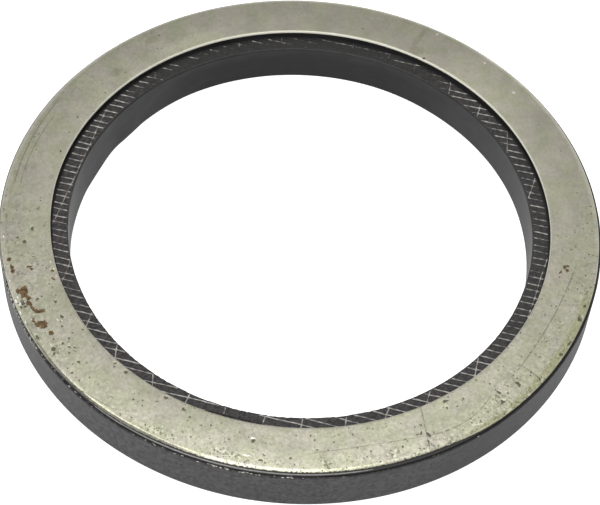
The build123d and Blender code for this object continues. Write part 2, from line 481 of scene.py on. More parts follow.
# %% The inner case as one mesh
inner_case = ring_piece("inner_case_face", cup_angle, cup_r, cup_z)
paint(
    inner_case,
    rust=rust * top_share,
    pits=pits,
    dent=dent * top_share,
    light=light,
    stain=stain,
    yellow=yellow,
    speckled=speckled,
    # lighter marks, less the painted shade of the shaded stretches
    rubbed=np.clip(rubbed, 0, 1) - 0.5 * shaded,
    olive=stretch_of_ring(cup_angle, 332, 20, 14),
    # painted shade on the corner's steep lower part and in the groove, on this stretch
    soiled=stretch_of_ring(cup_angle, 281, 54, 16),
    worn_line=worn_line * smooth_step(cup_r, pocket_radius, face_radius),
    polished=polished * smooth_step(cup_r, shiny_radius, shiny_radius + 0.2),
    matt=(1 - polished) * smooth_step(cup_r, corner_start - 0.1, shiny_radius),
)
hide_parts("inner_case")
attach(inner_case, "root")

# %% [markdown]
# ## Packing ring
#
# The packing is moulded rubber, and only its bore and a narrow band underneath show.
# It fills the case, so its section is the one that the CAD model has, with a softly
# rounded lower edge. Rubber that was pressed into a case never keeps a true bore: it
# ripples by a few hundredths of a millimetre, and along two stretches its lower edge
# bulges inwards.

# %% Section of the packing ring
bore_round = 0.4
packing_section = np.vstack([
    straight((bore_radius + bore_round, 0), (window_radius, 0), 6),
    straight((window_radius, 0), (window_radius, case_sheet), 1),
    straight((window_radius, case_sheet), (pocket_radius, case_sheet), 1),
    straight((pocket_radius, case_sheet), (pocket_radius, ceiling), 1),
    straight((pocket_radius, ceiling), (step_radius, ceiling), 1),
    straight((step_radius, ceiling), (step_radius, seat_height), 5),
    straight((step_radius, seat_height), (bore_radius, seat_height), 1),
    straight((bore_radius, seat_height), (bore_radius, bore_round), 16),
    arc((bore_radius + bore_round, bore_round), bore_round, 180, 270, 4),
])
print("the packing ring's section has", len(packing_section), "points")

# %% Ripples and bulges of the bore
packing_angle, packing_r, packing_z = round_the_axis(packing_section, turns=1440)
bore_share = 1 - smooth_step(packing_r, bore_radius, bore_radius + 0.6)
ripple = 0.5 + 0.5 * waves_round(packing_angle + 0.03 * packing_z, 9, 36, 31)
ripple_depth = 0.025
packing_r = packing_r + ripple_depth * bore_share * np.clip(ripple, 0, 1)

# Each bulge has a height, and the middle, reach and fade of its stretch in degrees.
bulges = [(0.9, 156, 8, 28), (0.35, 160, 1, 7), (0.3, 145, 1, 5), (0.4, 30, 20, 25)]
bulge = sum(high * stretch_of_ring(packing_angle, *place) for high, *place in bulges)
foot_share = np.clip(1 - packing_z / ceiling, 0, 1) ** 1.4
packing_r = packing_r - bulge * bore_share * foot_share
print("the bore bulges by up to", round(float(bulge.max()), 2), "mm")

# %% The packing ring as one mesh
packing_ring = ring_piece("packing_rubber", packing_angle, packing_r, packing_z)
# The bore's far side gets painted shade, less near its top.
unshaded_top = 0.7 * smooth_step(packing_z, seat_height - 5, seat_height)
paint(packing_ring, sooty=stretch_of_ring(packing_angle, 92, 22, 25) * (1 - unshaded_top))
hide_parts("packing_ring")
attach(packing_ring, "root")

# %% [markdown]
# ## Skin of the cord ply
#
# The ply is a sheet of rubbered fabric that was cut through when the ring was made. Its
# skin is a flat band between the bore and the step. Along the bore the cut tore the
# rubber a little, most of all on one stretch, and left a ragged edge.

# %% Section of the ply's skin
cord_height = 0.15
skin_top = cord_top - cord_height
skin_section = np.vstack([
    straight((bore_radius, seat_height), (step_radius, seat_height), 3),
    straight((step_radius, seat_height), (step_radius, skin_top), 1),
    straight((step_radius, skin_top), (bore_radius, skin_top), 24),
    straight((bore_radius, skin_top), (bore_radius, seat_height), 1),
])
print("the skin's section has", len(skin_section), "points")

# %% Torn edge of the skin
skin_angle, skin_r, skin_z = round_the_axis(skin_section, turns=1800)
skin_x = skin_r * np.cos(skin_angle)
skin_y = skin_r * np.sin(skin_angle)

edge_share = 1 - smooth_step(skin_r, bore_radius, bore_radius + 1.2)
torn = 0.15 + 0.85 * stretch_of_ring(skin_angle, 255, 30, 20)
torn = torn - 0.13 * stretch_of_ring(skin_angle, 90, 35, 20)
tear = 0.5 * waves_round(skin_angle, 60, 260, 41) + 0.5 * waves_round(skin_angle, 15, 50, 42)
tear_depth = 0.45
skin_r = skin_r + tear_depth * edge_share * torn * np.clip(tear, 0, 1)
upper = smooth_step(skin_z, seat_height, skin_top)
hollow, edge_hollow = 0.03, 0.06
skin_z = skin_z - hollow * upper * (1 + waves_over(skin_x, skin_y, 1.1, 43))
frayed = upper * edge_share * torn * (1 + waves_over(skin_x, skin_y, 0.8, 44)) / 2
skin_z = skin_z - edge_hollow * frayed

ply_skin = ring_piece("ply_skin", skin_angle, skin_r, skin_z)
# Painted shade on the far side and on the right of the skin.
far_shade = stretch_of_ring(skin_angle, 95, 25, 35)
paint(ply_skin, grimy=np.maximum(far_shade, 0.6 * stretch_of_ring(skin_angle, 0, 25, 20)))
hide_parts("cord_ply")
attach(ply_skin, "root")

# %% [markdown]
# ## Cut cords
#
# The fabric has close cords that run in pairs, and looser cross cords that tie them. A
# curve object with a bevel for each cord would be slow and round all over, and most of a
# cord is buried in the rubber. So all cords are one mesh: every cord is a row of small
# flattened rings, and the rings' height and width change with random waves.

# %% Where the cords run
cord_margin = 0.33  # cords end this far from the bore and from the step
cord_outer = step_radius - cord_margin
cord_inner = bore_radius + cord_margin

# Close cords lie in pairs. The pitch is from pair to pair, the gap within a pair, and
# the shift is how far a pair's first cord lies from the axis.
pair_pitch = 4.86
pair_gap = 2.2
close_angle = math.radians(-11.3)
close_shift = -1.76

# Where a cross cord meets the step and the bore, as directions in degrees.
cross_directions = np.radians([
    (17.9, 11.5), (33.2, 26.8), (43.4, 40.7), (53.2, 51.0), (63.2, 62.3), (70.3, 70.1),
    (79.8, 79.9), (88.6, 89.5), (97.8, 98.4), (108.4, 109.8), (118.2, 121.5),
    (131.1, 135.6), (203.8, 197.5), (217.2, 213.7), (228.2, 224.7), (239.1, 236.4),
    (247.1, 246.6), (256.0, 255.6), (264.4, 265.0), (272.8, 273.4), (282.2, 283.4),
    (290.8, 293.6), (300.5, 304.3), (313.6, 319.5),
])
# Two more pass beside the bore and meet the step at both ends.
passing_directions = np.radians([(146.6, 187.4), (333.5, 355.5)])
cross_depth = 0.1
passing_depths = [0.15, 0.4]
print(len(cross_directions) + len(passing_directions), "cross cords placed by hand")

# %% Both ends of every cord


def spots(radius, direction):
    """Points of the ply by their distance and direction from the axis."""
    return np.column_stack([radius * np.cos(direction), radius * np.sin(direction)])


def close_runs():
    """Both ends of every close cord; a cord that meets the bore is cut into two runs.

    A cord at offset d from the axis meets a circle r at a distance sqrt(r^2 - d^2).
    """
    count = int(cord_outer // pair_pitch) + 1
    first = close_shift + pair_pitch * np.arange(-count, count + 1)
    offset = np.concatenate([first, first + pair_gap])
    offset = offset[np.abs(offset) < cord_outer - cord_margin]
    end = np.sqrt(cord_outer**2 - offset**2)
    start = np.sqrt(np.clip(cord_inner**2 - offset**2, 0, None))
    along = np.array([math.cos(close_angle), math.sin(close_angle)])
    across = np.array([-along[1], along[0]])
    middle = offset[:, None] * across
    right = middle + start[:, None] * along, middle + end[:, None] * along
    left = middle - start[:, None] * along, middle - end[:, None] * along
    starts, ends = np.vstack([right[0], left[0]]), np.vstack([right[1], left[1]])
    return starts, ends, np.zeros(len(starts))


def cross_runs():
    """Both ends of every cross cord, and how deep in the rubber it is buried."""
    starts = np.concatenate([cross_directions[:, 0], passing_directions[:, 0]])
    cut_ends = spots(cord_inner, cross_directions[:, 1])
    whole_ends = spots(cord_outer, passing_directions[:, 1])
    depths = np.append(np.full(len(cross_directions), cross_depth), passing_depths)
    return spots(cord_outer, starts), np.vstack([cut_ends, whole_ends]), depths


print(len(close_runs()[0]), "runs of close cords and", len(cross_runs()[0]), "of cross cords")

# %% How dark a cord is made, and how deep it lies


def cord_darkness_on(line):
    """How dark a cord is made along its line: mostly painted shade, by its direction."""
    direction = np.arctan2(line[:, 1], line[:, 0])
    from_axis = np.hypot(line[:, 0], line[:, 1])
    far_side = 0.55 + 0.5 * smooth_step(-from_axis, -73, -71)
    grimy = stretch_of_ring(direction, 95, 25, 35) * far_side
    grimy = grimy + 0.9 * smooth_step(from_axis, step_radius - 1, step_radius - 0.6)
    grimy = grimy + 0.27 * stretch_of_ring(direction, 0, 25, 20)
    grimy = grimy + 0.12 * stretch_of_ring(direction, 180, 25, 15)
    outer_part = smooth_step(from_axis, 72.1, 72.5)
    return grimy + 0.9 * stretch_of_ring(direction, 258.5, 6, 1.5) * outer_part


def buried_between(line):
    """1 between the close cords, and less than 0 on top of one, at each point."""
    offset = line @ np.array([-math.sin(close_angle), math.cos(close_angle)])
    turn = (offset - close_shift) % pair_pitch
    nearest = np.minimum(np.minimum(turn, pair_pitch - turn), np.abs(turn - pair_gap))
    return 1 - 2.4 * np.exp(-(nearest / 0.5) ** 2)


far_and_near = np.array([(0.0, 71.0), (0.0, -71.0)])
print("dimming far and near:", cord_darkness_on(far_and_near).round(2).tolist())

# %% Cords as rows of flattened rings
SIDES = 7
ring_step = 0.14
taper_length = 0.35
sunk = 0.04  # how far a cord's middle lies below the skin


def cord_rows(starts, ends, depths, width, lift, seed):
    """The points of all cords of one kind, and whether a ring is the last of its cord.

    A ring at distance s along its cord is an ellipse round the point
    start + s (end - start) + sideways waves, and it lies at skin + lift waves. Between
    two close cords it is as deep in the rubber as its cord's depth says, and so darker.
    """
    random = np.random.default_rng(seed)
    runs = ends - starts
    lengths = np.hypot(runs[:, 0], runs[:, 1])
    counts = np.maximum(np.ceil(lengths / ring_step).astype(int) + 1, 8)
    cord = np.repeat(np.arange(len(runs)), counts)
    first = np.concatenate([[0], np.cumsum(counts)[:-1]])
    share = (np.arange(counts.sum()) - first[cord]) / (counts[cord] - 1)
    along = share * lengths[cord]

    phase = random.uniform(0, 50, (len(runs), 4))[cord]
    taper = np.clip(np.minimum(share, 1 - share) * lengths[cord] / taper_length, 0.02, 1)
    sideways = 0.07 * np.sin(along / 2.3 + phase[:, 0])
    sideways = sideways + 0.03 * np.sin(along / 0.6 + phase[:, 1])
    swell = 0.5 * np.sin(along / 0.37 + phase[:, 2]) + 0.5 * np.sin(along / 1.1 + phase[:, 3])
    half_width = width / 2 * (0.85 + 0.15 * swell) * np.sqrt(taper)
    middle = skin_top - sunk + lift * (0.8 + 0.2 * swell) * taper

    ahead = (runs / lengths[:, None])[cord]
    beside = np.column_stack([-ahead[:, 1], ahead[:, 0]])
    side = 2 * np.pi * np.arange(SIDES) / SIDES
    line = starts[cord] + ahead * along[:, None]
    across = (sideways * taper)[:, None] + half_width[:, None] * np.cos(side)
    height = middle[:, None] + 0.5 * half_width[:, None] * np.sin(side)
    flat = line[:, None, :] + across[:, :, None] * beside[:, None, :]
    points = np.concatenate([flat, np.minimum(height, cord_top)[:, :, None]], axis=2)
    last_of_cord = np.append(cord[1:] != cord[:-1], True)
    pale = 0.5 + 0.25 * swell + random.uniform(-0.2, 0.2, len(runs))[cord]
    pale = pale - cord_darkness_on(line) - depths[cord] * buried_between(line)
    return points, last_of_cord, np.repeat(pale, SIDES)


# %% The cords as two meshes


def cord_faces(last_of_cord):
    """Quads between a ring and the next of its cord, and a cap at both cord ends."""
    ring = np.arange(len(last_of_cord) * SIDES).reshape(-1, SIDES)
    here = ring[:-1][~last_of_cord[:-1]]
    there = ring[1:][~last_of_cord[:-1]]
    quads = [here, np.roll(here, -1, 1), np.roll(there, -1, 1), there]
    sides = np.stack([side.ravel() for side in quads], axis=1)
    first_of_cord = np.append(True, last_of_cord[:-1])
    caps = np.vstack([ring[first_of_cord][:, ::-1], ring[last_of_cord]])
    return sides.tolist() + caps.tolist()


def cord_piece(name, ends, width, lift, seed):
    """One mesh of all cords of one kind, riding on the ring."""
    points, last_of_cord, pale = cord_rows(*ends, width, lift, seed)
    piece = new_piece(name, points.reshape(-1, 3), cord_faces(last_of_cord))
    paint(piece, pale=pale)
    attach(piece, "root")
    return piece


close_cords = cord_piece("close_cords", close_runs(), width=0.44, lift=0.10, seed=51)
cross_cords = cord_piece("cross_cords", cross_runs(), width=0.42, lift=0.13, seed=52)

# %% [markdown]
# ## Node helpers
#
# Materials are networks of nodes. These helpers add a node and fill its sockets in one
# line, so that a material below reads like a recipe. Effects that several materials
# share are node groups with named sockets. A group puts out masks and values only, and
# the Principled BSDF stays in the material.

# %% Node helpers: one node


def add(tree, kind, sockets=None, **settings):
    """Adds a node, sets its options, and fills or links its input sockets."""
    node = tree.nodes.new("ShaderNode" + kind)
    for option, value in settings.items():
        setattr(node, option, value)
    for socket, value in (sockets or {}).items():
        if isinstance(value, bpy.types.NodeSocket):
            tree.links.new(value, node.inputs[socket])
        else:
            node.inputs[socket].default_value = value
    return node


def calc(tree, operation, *values):
    """The result of one Math node."""
    sockets = dict(enumerate(values))
    return add(tree, "Math", sockets, operation=operation).outputs[0]


def times(tree, first, second):
    """first x second."""
    return calc(tree, "MULTIPLY", first, second)


def plus(tree, first, second):
    """first + second."""
    return calc(tree, "ADD", first, second)


def larger(tree, first, second):
    """The larger of two values."""
    return calc(tree, "MAXIMUM", first, second)


def linear(tree, value, slope, start):
    """slope x value + start."""
    return calc(tree, "MULTIPLY_ADD", value, slope, start)


def vector_calc(tree, operation, *values, result="Vector"):
    """The result of one Vector Math node."""
    sockets = dict(enumerate(values))
    return add(tree, "VectorMath", sockets, operation=operation).outputs[result]


def scaled(tree, vector, factor):
    """A vector times a number."""
    sockets = {0: vector, "Scale": factor}
    return add(tree, "VectorMath", sockets, operation="SCALE").outputs[0]


# %% Node helpers: colours and masks


def blend_colours(tree, share, first, second, how="MIX"):
    """The colour result of one Mix node, whose colour sockets are 6, 7 and output 2."""
    sockets = {0: share, 6: first, 7: second}
    return add(tree, "Mix", sockets, data_type="RGBA", blend_type=how).outputs[2]


def coat(tree, under, mask, colour, strength=1.0):
    """Lays a colour over another one, as much as mask x strength says."""
    share = mask if strength == 1.0 else times(tree, mask, strength)
    return blend_colours(tree, share, under, colour)


def rise(tree, value, low, high):
    """0 below low, 1 above high, with a smooth step between them."""
    sockets = {"Value": value, 1: low, 2: high}
    return add(tree, "MapRange", sockets, interpolation_type="SMOOTHSTEP").outputs[0]


def painted(tree, name):
    """The value that paint() stored under this name."""
    return add(tree, "Attribute", attribute_name=name).outputs["Fac"]


# %% Node helpers: groups


def new_group(name, inputs, outputs):
    """An empty node group with named sockets, its input node and its output node."""
    tree = bpy.data.node_groups.new(name, "ShaderNodeTree")
    for label, default in inputs.items():
        kind = "NodeSocketVector" if isinstance(default, tuple) else "NodeSocketFloat"
        socket = tree.interface.new_socket(label, in_out="INPUT", socket_type=kind)
        socket.default_value = default
    for label, kind in outputs.items():
        tree.interface.new_socket(label, in_out="OUTPUT", socket_type="NodeSocket" + kind)
    group_inputs = tree.nodes.new("NodeGroupInput").outputs
    return tree, group_inputs, tree.nodes.new("NodeGroupOutput").inputs


def use(tree, group, **sockets):
    """Places a group in a material, and gives its outputs."""
    return add(tree, "Group", sockets, node_tree=group).outputs


def grey(value):
    """A neutral colour."""
    return (value, value, value, 1)


# %% [markdown]
# ## Shared effects
#
# Everything on a turned ring is measured from its axis. The first group turns Object
# coordinates into millimetres, a radius, a height, and a direction that never jumps
# where the ring closes. The others are built on it: streaks that run round the ring,
# soft patches, small specks, ragged outlines and curved scratches.

# %% Group: ring place
ring_place, _, group_out = new_group(
    "ring place", {},
    {"Place": "Vector", "Radius": "Float", "Height": "Float", "Direction": "Vector"},
)
object_place = add(ring_place, "TexCoord").outputs["Object"]
in_mm = scaled(ring_place, object_place, 1 / MM)
parts = add(ring_place, "SeparateXYZ", {0: in_mm}).outputs
flat_place = add(ring_place, "CombineXYZ", {0: parts["X"], 1: parts["Y"]}).outputs[0]
flat_length = vector_calc(ring_place, "LENGTH", flat_place, result="Value")
ring_place.links.new(in_mm, group_out["Place"])
ring_place.links.new(flat_length, group_out["Radius"])
ring_place.links.new(parts["Z"], group_out["Height"])
ring_place.links.new(vector_calc(ring_place, "NORMALIZE", flat_place), group_out["Direction"])
print("the group ring place has", len(ring_place.nodes), "nodes")

# %% Group: streaks round the ring
# Noise is read at (direction x length scale, radius + height over width scale), so it
# changes slowly round the ring and quickly across it.
streaks, group_in, group_out = new_group(
    "streaks", {"Length": 30.0, "Width": 0.3, "Seed": 0.0}, {"Streak": "Float"}
)
place = use(streaks, ring_place)
pace = calc(streaks, "DIVIDE", outer_radius, group_in["Length"])
slow = scaled(streaks, place["Direction"], pace)
slow_parts = add(streaks, "SeparateXYZ", {0: slow}).outputs
across = plus(streaks, place["Radius"], place["Height"])
across = calc(streaks, "DIVIDE", across, group_in["Width"])
streak_place = {0: slow_parts["X"], 1: slow_parts["Y"], 2: across}
streak_noise = add(
    streaks, "TexNoise",
    {"Vector": add(streaks, "CombineXYZ", streak_place).outputs[0], "W": group_in["Seed"],
     "Scale": 1.0, "Detail": 3.0, "Roughness": 0.6},
    noise_dimensions="4D",
)
streaks.links.new(streak_noise.outputs[0], group_out["Streak"])
print("the group streaks has", len(streaks.nodes), "nodes")

# %% Group: patches
patches, group_in, group_out = new_group(
    "patches", {"Size": 8.0, "Detail": 3.0, "Warp": 0.4, "Seed": 0.0}, {"Patch": "Float"}
)
place = use(patches, ring_place)
patch_pace = calc(patches, "DIVIDE", 1.0, group_in["Size"])
patch_noise = add(
    patches, "TexNoise",
    {"Vector": place["Place"], "W": group_in["Seed"], "Scale": patch_pace,
     "Detail": group_in["Detail"], "Distortion": group_in["Warp"]},
    noise_dimensions="4D",
)
patches.links.new(patch_noise.outputs[0], group_out["Patch"])
print("the group patches has", len(patches.nodes), "nodes")

# %% Group: specks
# A cell pattern gives each cell a random colour. One channel says whether the cell holds
# a speck, another says how large it is.
specks, group_in, group_out = new_group(
    "specks", {"Spacing": 1.5, "Size": 0.3, "Share": 0.3, "Seed": 0.0}, {"Speck": "Float"}
)
place = use(specks, ring_place)
moved = add(specks, "CombineXYZ", {0: group_in["Seed"]}).outputs[0]
own_place = vector_calc(specks, "ADD", place["Place"], moved)
wobble = add(specks, "TexNoise", {"Vector": own_place, "Scale": 3.0, "Detail": 1.0})
wobble_part = scaled(specks, wobble.outputs["Color"], 0.6)
uneven_place = vector_calc(specks, "ADD", own_place, wobble_part)
cells = add(
    specks, "TexVoronoi",
    {"Vector": uneven_place, "Scale": calc(specks, "DIVIDE", 1.0, group_in["Spacing"])},
    voronoi_dimensions="2D",
)
draw = add(specks, "SeparateColor", {0: cells.outputs["Color"]}).outputs
holds = calc(specks, "LESS_THAN", draw[0], group_in["Share"])
reach = times(specks, group_in["Size"], linear(specks, draw[1], 0.8, 0.2))
inside = rise(specks, cells.outputs["Distance"], reach, times(specks, reach, 0.5))
specks.links.new(times(specks, holds, inside), group_out["Speck"])
print("the group specks has", len(specks.nodes), "nodes")

# %% Group: ragged mask
# A soft mask plus noise, cut at the middle, gives an outline as rough as flaking rust.
ragged, group_in, group_out = new_group(
    "ragged mask",
    {"Mask": 0.0, "Grain": 0.5, "Amount": 0.8, "Softness": 0.08},
    {"Ragged": "Float"},
)
place = use(ragged, ring_place)
grain_pace = calc(ragged, "DIVIDE", 1.0, group_in["Grain"])
grain_noise = add(
    ragged, "TexNoise", {"Vector": place["Place"], "Scale": grain_pace, "Detail": 4.0}
)
noise_share = calc(ragged, "SUBTRACT", grain_noise.outputs[0], 0.5)
rough_mask = plus(ragged, group_in["Mask"], times(ragged, noise_share, group_in["Amount"]))
low_limit = calc(ragged, "SUBTRACT", 0.5, group_in["Softness"])
high_limit = plus(ragged, 0.5, group_in["Softness"])
ragged.links.new(rise(ragged, rough_mask, low_limit, high_limit), group_out["Ragged"])
print("the group ragged mask has", len(ragged.nodes), "nodes")

# %% Group: arc scratch
# A scratch is a thin stretch of a circle: near the circle's line, and near its middle.
arc_scratch, group_in, group_out = new_group(
    "arc scratch",
    {"Centre": (0.0, 0.0, 0.0), "Radius": 80.0,
     "Middle": (0.0, 0.0, 0.0), "Reach": 20.0, "Width": 0.15},
    {"Scratch": "Float"},
)
place = use(arc_scratch, ring_place)
flat = vector_calc(arc_scratch, "MULTIPLY", place["Place"], (1, 1, 0))
from_centre = vector_calc(arc_scratch, "DISTANCE", flat, group_in["Centre"], result="Value")
off_line = calc(arc_scratch, "SUBTRACT", from_centre, group_in["Radius"])
off_line = calc(arc_scratch, "ABSOLUTE", off_line)
full_width = times(arc_scratch, group_in["Width"], 0.3)
on_line = rise(arc_scratch, off_line, group_in["Width"], full_width)
from_middle = vector_calc(arc_scratch, "DISTANCE", flat, group_in["Middle"], result="Value")
full_reach = times(arc_scratch, group_in["Reach"], 0.8)
in_reach = rise(arc_scratch, from_middle, group_in["Reach"], full_reach)
fading = add(arc_scratch, "TexNoise", {"Vector": place["Place"], "Scale": 0.5, "Detail": 2.0})
pressed = rise(arc_scratch, fading.outputs[0], 0.25, 0.5)
scratch_mask = times(arc_scratch, times(arc_scratch, on_line, in_reach), pressed)
arc_scratch.links.new(scratch_mask, group_out["Scratch"])
print("node groups:", sorted(group.name for group in bpy.data.node_groups))

# %% Material helpers


def new_material(name, piece):
    """A material on a piece, its node tree and its Principled BSDF."""
    material = bpy.data.materials.new(name)
    material.use_nodes = True
    piece.data.materials.clear()
    piece.data.materials.append(material)
    return material.node_tree, material.node_tree.nodes["Principled BSDF"]


def bump(tree, height, strength, distance):
    """The normal of a Bump node, its distance in millimetres."""
    sockets = {"Height": height, "Strength": strength, "Distance": distance * MM}
    return add(tree, "Bump", sockets).outputs[0]


def ragged_mark(tree, name, **sockets):
    """The marks that paint() stored under this name, with a ragged outline."""
    return use(tree, ragged, Mask=painted(tree, name), **sockets)["Ragged"]


# %% [markdown]
# ## Pale steel face
#
# The face is satin steel with a thin, slightly yellow plating. Its colour drifts between
# olive and mauve in soft patches, and the near half has a fine, dirty grain. Over that
# come the marks: stains, dark pits, brown rust, a yellow crust along part of the outer
# edge, and thin scratches. Each mask mixes one more colour over the last.

# %% Colour of the plating
olive = (0.50, 0.496, 0.37, 1)
mauve = (0.535, 0.508, 0.42, 1)

tree, shader = new_material("pale_steel", inner_case)
where = use(tree, ring_place)
speckled_share = painted(tree, "speckled")
tint = use(tree, patches, Size=6.0, Detail=6.0, Seed=1.0)["Patch"]
tint = linear(tree, speckled_share, -0.06, tint)
shade = use(tree, patches, Size=5.0, Detail=6.0, Seed=2.0)["Patch"]
grain = use(tree, patches, Size=0.9, Detail=3.0, Seed=3.0)["Patch"]
turned = use(tree, streaks, Length=40.0, Width=0.25, Seed=4.0)["Streak"]

steel = blend_colours(tree, rise(tree, tint, 0.38, 0.58), olive, mauve)
lightness = linear(tree, shade, 0.4, 0.72)
# Lighter marks brighten the face, and painted shade darkens the shaded stretches.
lightness = times(tree, lightness, linear(tree, painted(tree, "rubbed"), 0.16, 1.0))
grain_depth = linear(tree, speckled_share, 0.8, 0.42)
rough_grain = linear(tree, calc(tree, "SUBTRACT", grain, 0.5), grain_depth, 1.0)
lightness = times(tree, lightness, rough_grain)
lightness = times(tree, lightness, linear(tree, turned, 0.08, 0.96))
light_colour = add(tree, "CombineColor", {0: lightness, 1: lightness, 2: lightness}).outputs[0]
steel = blend_colours(tree, 1.0, steel, light_colour, "MULTIPLY")
print("the plating takes", len(tree.nodes), "nodes")

# %% Stains and crust
stain_colour = (0.27, 0.25, 0.17, 1)
crust_pale = (0.86, 0.86, 0.64, 1)
crust_olive = (0.38, 0.38, 0.18, 1)
crust_dark = (0.20, 0.19, 0.08, 1)

stain_mask = ragged_mark(tree, "stain", Grain=1.5, Amount=1.2, Softness=0.35)
steel = coat(tree, steel, stain_mask, stain_colour, 0.35)
crust_mask = ragged_mark(tree, "yellow", Grain=0.6, Amount=1.8, Softness=0.3)
crust_tone = use(tree, patches, Size=0.7, Detail=3.0, Seed=5.0)["Patch"]
crust = blend_colours(tree, painted(tree, "olive"), crust_pale, crust_olive)
crust = blend_colours(tree, rise(tree, crust_tone, 0.36, 0.52), crust_dark, crust)
steel = coat(tree, steel, crust_mask, crust, 0.55)
print("with stains and crust", len(tree.nodes), "nodes")

# %% Specks and pits
# One fine noise gives both kinds of dots: dark ones where it is low, light ones where it
# is high. Both limits move where the specks are crowded.
dot_colour = (0.84, 0.83, 0.68, 1)
pit_colour = (0.075, 0.068, 0.035, 1)

crowd = use(tree, patches, Size=4.0, Detail=2.0, Seed=6.0)["Patch"]
crowding = times(tree, speckled_share, rise(tree, crowd, 0.3, 0.7))
dots = use(tree, patches, Size=0.8, Detail=2.0, Seed=7.0)["Patch"]
dark_limit = linear(tree, crowding, 0.17, 0.26)
dark_dots = rise(tree, dots, dark_limit, calc(tree, "SUBTRACT", dark_limit, 0.06))
light_limit = linear(tree, crowding, -0.2, 0.76)
light_dots = rise(tree, dots, light_limit, plus(tree, light_limit, 0.08))
steel = coat(tree, steel, light_dots, dot_colour, 0.5)

few = times(tree, speckled_share, 0.19)
large_specks = use(tree, specks, Spacing=1.3, Size=0.3, Share=few, Seed=70.0)["Speck"]
pit_mask = ragged_mark(tree, "pits", Grain=0.45, Amount=1.2)
pit_mask = larger(tree, pit_mask, large_specks)
pit_mask = larger(tree, pit_mask, times(tree, dark_dots, 0.65))
steel = coat(tree, steel, pit_mask, pit_colour, 0.85)
print("with specks and pits", len(tree.nodes), "nodes")

# %% Dent, light marks and rust
dent_shade_colour = (0.07, 0.06, 0.06, 1)
light_mark_colour = (0.88, 0.87, 0.80, 1)
rust_dark = (0.07, 0.042, 0.016, 1)
rust_light = (0.19, 0.12, 0.05, 1)

# Painted shade darkens the dent, and the light marks on its rim are painted highlights.
dent_shade_mask = ragged_mark(tree, "dent", Grain=0.6, Amount=1.4)
steel = coat(tree, steel, dent_shade_mask, dent_shade_colour, 0.75)
light_mask = ragged_mark(tree, "light", Grain=0.4, Amount=0.8)
steel = coat(tree, steel, light_mask, light_mark_colour)
rust_mask = ragged_mark(tree, "rust", Grain=0.7, Amount=1.4)
rust_tone = use(tree, patches, Size=0.8, Detail=3.0, Seed=8.0)["Patch"]
rust_colour = blend_colours(tree, rise(tree, rust_tone, 0.35, 0.65), rust_dark, rust_light)
steel = coat(tree, steel, rust_mask, rust_colour)
print("with rust", len(tree.nodes), "nodes")

# %% Scratches
# Centre and radius of each circle, middle and reach of the stretch, and width, in mm.
scratch_colour = (0.12, 0.11, 0.08, 1)
scratch_lines = [
    ((-66, 33, 0), 154.7, (74, -33, 0), 24, 0.28),
    ((32.5, -48.9, 0), 26.2, (49, -69, 0), 12, 0.22),
    ((-100.1, 399.8, 0), 494.2, (25, -78, 0), 22, 0.18),
    ((429.8, 8.4, 0), 400, (38.2, -72.3, 0), 7.5, 0.3),
    ((248.7, 187.9, 0), 300, (67.3, -51.1, 0), 4.5, 0.3),
    ((-3, 20, 0), 103, (-56, -68.5, 0), 10, 0.25),
    ((0, 0, 0), 86.8, (-84, 22, 0), 20, 0.28),
    ((-6, 0, 0), 79, (-83, 18, 0), 16, 0.2),
]
scratches = 0.0
for centre, radius, middle, reach, width in scratch_lines:
    line = use(
        tree, arc_scratch,
        Centre=centre, Radius=radius, Middle=middle, Reach=reach, Width=width,
    )
    scratches = larger(tree, line["Scratch"], scratches)
steel = coat(tree, steel, scratches, scratch_colour, 0.5)
print(len(scratch_lines), "scratches")

# %% Cut edge and groove
# The flange's cut edge is rough and pale, and its paleness is partly a painted highlight.
# Painted shade darkens the corner's steep lower part and the groove where the wall meets
# the rim, and a thin painted highlight line crosses that dark band.
pale_cut_and_highlight = (0.80, 0.78, 0.66, 1)
corner_shade_colour = (0.015, 0.014, 0.013, 1)
highlight_line_colour = (0.22, 0.215, 0.205, 1)
groove_shade_colour = (0.02, 0.019, 0.018, 1)

# The cut edge's paleness is partly bare steel and partly a painted highlight along the hole.
cut_edge = rise(tree, where["Radius"], window_radius + 0.2, window_radius + 0.08)
steel = coat(tree, steel, cut_edge, pale_cut_and_highlight)
# Painted shade: the corner's steep lower part and the groove under it are darkened.
soiled = painted(tree, "soiled")
uneven = linear(tree, crust_tone, 0.5, rim_height - 0.25)
shade_start = linear(tree, painted(tree, "olive"), -0.55, uneven)
shade_top, shade_full = (plus(tree, shade_start, height) for height in (1.25, 1.12))
corner_shade = times(tree, rise(tree, where["Height"], shade_top, shade_full), soiled)
steel = coat(tree, steel, corner_shade, corner_shade_colour)
# A thin painted highlight line crosses the dark band.
highlight_mask = ragged_mark(tree, "worn_line", Grain=0.8, Amount=0.6)
steel = coat(tree, steel, highlight_mask, highlight_line_colour)
# Painted shade in the groove just above the rim.
groove_top, groove_full = (plus(tree, uneven, height) for height in (0.35, 0.2))
groove_shade = times(tree, soiled, rise(tree, where["Height"], groove_top, groove_full))
steel = coat(tree, steel, groove_shade, groove_shade_colour)
tree.links.new(steel, shader.inputs["Base Color"])
print("the whole colour of the face takes", len(tree.nodes), "nodes")

